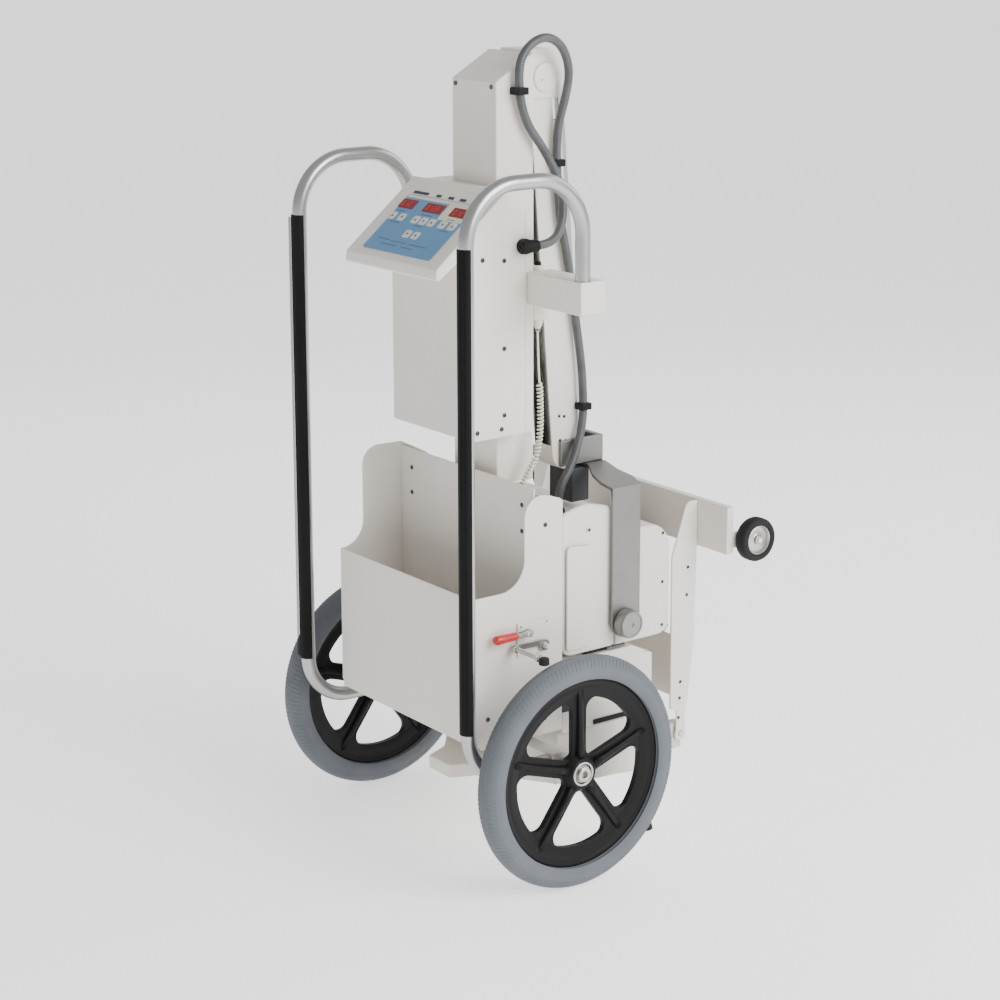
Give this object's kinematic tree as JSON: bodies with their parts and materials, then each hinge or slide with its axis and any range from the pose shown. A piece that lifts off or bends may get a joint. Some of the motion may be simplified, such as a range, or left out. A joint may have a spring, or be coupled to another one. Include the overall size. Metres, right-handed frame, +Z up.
{
  "type": "mobile x-ray trolley",
  "caption": "Two-wheeled upright X-ray trolley: parked folding arm with a forked tube head, sloped control desk, push handles, bin, toggle brakes, folding front frame.",
  "frame": {"origin": "middle of the footprint on the floor", "axes": "+X to the unit's right, +Y from the bin towards the folding front frame, +Z up"},
  "size_m": [0.637, 0.638, 1.3984],
  "materials": {
    "cream_paint": "fine satin powder coat",
    "bright_steel": "brushed and clear coated",
    "knob_metal": "turned, matt",
    "dark_steel": "dark grey paint",
    "black_plastic": "fine grain",
    "grey_tyre": "smooth grey tread",
    "black_rubber": "matt",
    "grey_hose": "ribbed satin sleeve",
    "cream_plastic": "moulded, soft gloss",
    "red_plastic": "dipped vinyl",
    "blue_film": "printed membrane"
  },
  "bodies": {
    "chassis": {"base_tub": "cream_paint", "tread_plate": "cream_paint", "base_cabinet": "cream_paint", "battery_pack": "black_plastic", "foot_pads": "black_rubber", "axle": "bright_steel", "axle_beam": "dark_steel", "bin_side_right": "cream_paint", "bin_side_left": "cream_paint", "bin_rear_panel": "cream_paint", "bin_tray": "cream_paint", "bin_front_panel": "cream_paint", "cover_screws": "dark_steel", "mast_post": "dark_steel", "column": "cream_paint", "electronics_housing": "cream_paint", "control_desk": "cream_paint", "panel_membrane": "blue_film", "handle_tubes": "bright_steel", "grip_strips": "black_plastic", "handle_brackets": "cream_paint", "hand_switch": "cream_plastic", "switch_holster": "cream_plastic", "coil_lead": "cream_plastic", "shoulder_housing": "cream_paint", "shoulder_pin": "bright_steel", "hinge_pins": "bright_steel", "brake_bases": "bright_steel", "hose_fittings": "black_plastic", "hose_lower": "grey_hose", "hose_loop": "grey_hose"},
    "arm": {"arm_beam": "cream_paint", "arm_liner": "black_plastic", "arm_clips": "black_plastic", "hose_arm": "grey_hose", "hose_drop": "grey_hose"},
    "link": {"parallel_bar": "bright_steel"},
    "fork": {"fork_hub": "dark_steel", "fork_bar": "bright_steel"},
    "head": {"head_cover_rear": "cream_paint", "head_cover_front": "cream_paint", "beam_limiter": "black_plastic", "tube_insert": "dark_steel", "high_voltage_block": "black_plastic", "hose_boot": "black_plastic"},
    "knob_right": {"tilt_knob_right": "knob_metal"},
    "knob_left": {"tilt_knob_left": "knob_metal"},
    "front_frame": {"front_frame": "cream_paint", "cross_board": "cream_paint"},
    "loading_right": {"loading_wheel_right": "grey_tyre"},
    "loading_left": {"loading_wheel_left": "grey_tyre"},
    "wheel_right": {"wheel_tyre_right": "grey_tyre", "wheel_rim_right": "black_plastic"},
    "wheel_left": {"wheel_tyre_left": "grey_tyre", "wheel_rim_left": "black_plastic"},
    "lever_right": {"brake_lever_right": "red_plastic"},
    "lever_left": {"brake_lever_left": "red_plastic"},
    "presser_right": {"brake_presser_right": "bright_steel"},
    "presser_left": {"brake_presser_left": "bright_steel"},
    "button": {"exposure_button": "cream_plastic"}
  },
  "joints": [
    {"name": "wheel_right_spin", "type": "hinge", "parent": "chassis", "child": "wheel_right", "pos_m": [0.295, -0.119, 0.2], "axis": [1, 0, 0], "continuous": true},
    {"name": "wheel_left_spin", "type": "hinge", "parent": "chassis", "child": "wheel_left", "pos_m": [-0.295, -0.119, 0.2], "axis": [1, 0, 0], "continuous": true},
    {"name": "arm_raise", "type": "hinge", "parent": "chassis", "child": "arm", "pos_m": [0, 0.018, 1.321], "axis": [1, 0, 0], "range_deg": [0, 48], "deforming": ["hose_loop"]},
    {"name": "link_swing", "type": "hinge", "parent": "chassis", "child": "link", "pos_m": [0, 0.068, 1.311], "axis": [1, 0, 0], "range_deg": [0, 48]},
    {"name": "fork_level", "type": "hinge", "parent": "arm", "child": "fork", "pos_m": [0, 0.07077, 0.66512], "axis": [1, 0, 0], "range_deg": [-48, 0], "deforming": ["hose_drop"]},
    {"name": "head_tilt", "type": "hinge", "parent": "fork", "child": "head", "pos_m": [0, 0.059, 0.4], "axis": [-1, 0, 0], "range_deg": [0, 12]},
    {"name": "knob_right_turn", "type": "hinge", "parent": "fork", "child": "knob_right", "pos_m": [0.21, 0.059, 0.4], "axis": [1, 0, 0], "range_deg": [-180, 180]},
    {"name": "knob_left_turn", "type": "hinge", "parent": "fork", "child": "knob_left", "pos_m": [-0.21, 0.059, 0.4], "axis": [1, 0, 0], "range_deg": [-180, 180]},
    {"name": "front_fold", "type": "hinge", "parent": "chassis", "child": "front_frame", "pos_m": [0, 0.196, 0.165], "axis": [1, 0, 0], "range_deg": [-96, 0]},
    {"name": "loading_right_spin", "type": "hinge", "parent": "front_frame", "child": "loading_right", "pos_m": [0.286, 0.2805, 0.529], "axis": [1, 0, 0], "continuous": true},
    {"name": "loading_left_spin", "type": "hinge", "parent": "front_frame", "child": "loading_left", "pos_m": [-0.286, 0.2805, 0.529], "axis": [1, 0, 0], "continuous": true},
    {"name": "lever_right_swing", "type": "hinge", "parent": "chassis", "child": "lever_right", "pos_m": [0.21, -0.157, 0.425], "axis": [1, 0, 0], "range_deg": [-100, 0]},
    {"name": "presser_right_swing", "type": "hinge", "parent": "chassis", "child": "presser_right", "pos_m": [0.2, -0.117, 0.395], "axis": [1, 0, 0], "range_deg": [-15, 0]},
    {"name": "lever_left_swing", "type": "hinge", "parent": "chassis", "child": "lever_left", "pos_m": [-0.21, -0.157, 0.425], "axis": [1, 0, 0], "range_deg": [-100, 0]},
    {"name": "presser_left_swing", "type": "hinge", "parent": "chassis", "child": "presser_left", "pos_m": [-0.2, -0.117, 0.395], "axis": [1, 0, 0], "range_deg": [-15, 0]},
    {"name": "exposure_press", "type": "slide", "parent": "chassis", "child": "button", "axis": [0, 0, -1], "range_m": [0, 0.004], "stiffness_N_per_m": 400, "springref_m": -0.002}
  ],
  "couplings": [
    {"joint": "link_swing", "follows": "arm_raise", "ratio": 1},
    {"joint": "fork_level", "follows": "arm_raise", "ratio": -1},
    {"joint": "front_fold", "follows": "arm_raise", "ratio": -2},
    {"joint": "presser_right_swing", "follows": "lever_right_swing", "ratio": 0.15},
    {"joint": "presser_left_swing", "follows": "lever_left_swing", "ratio": 0.15}
  ]
}
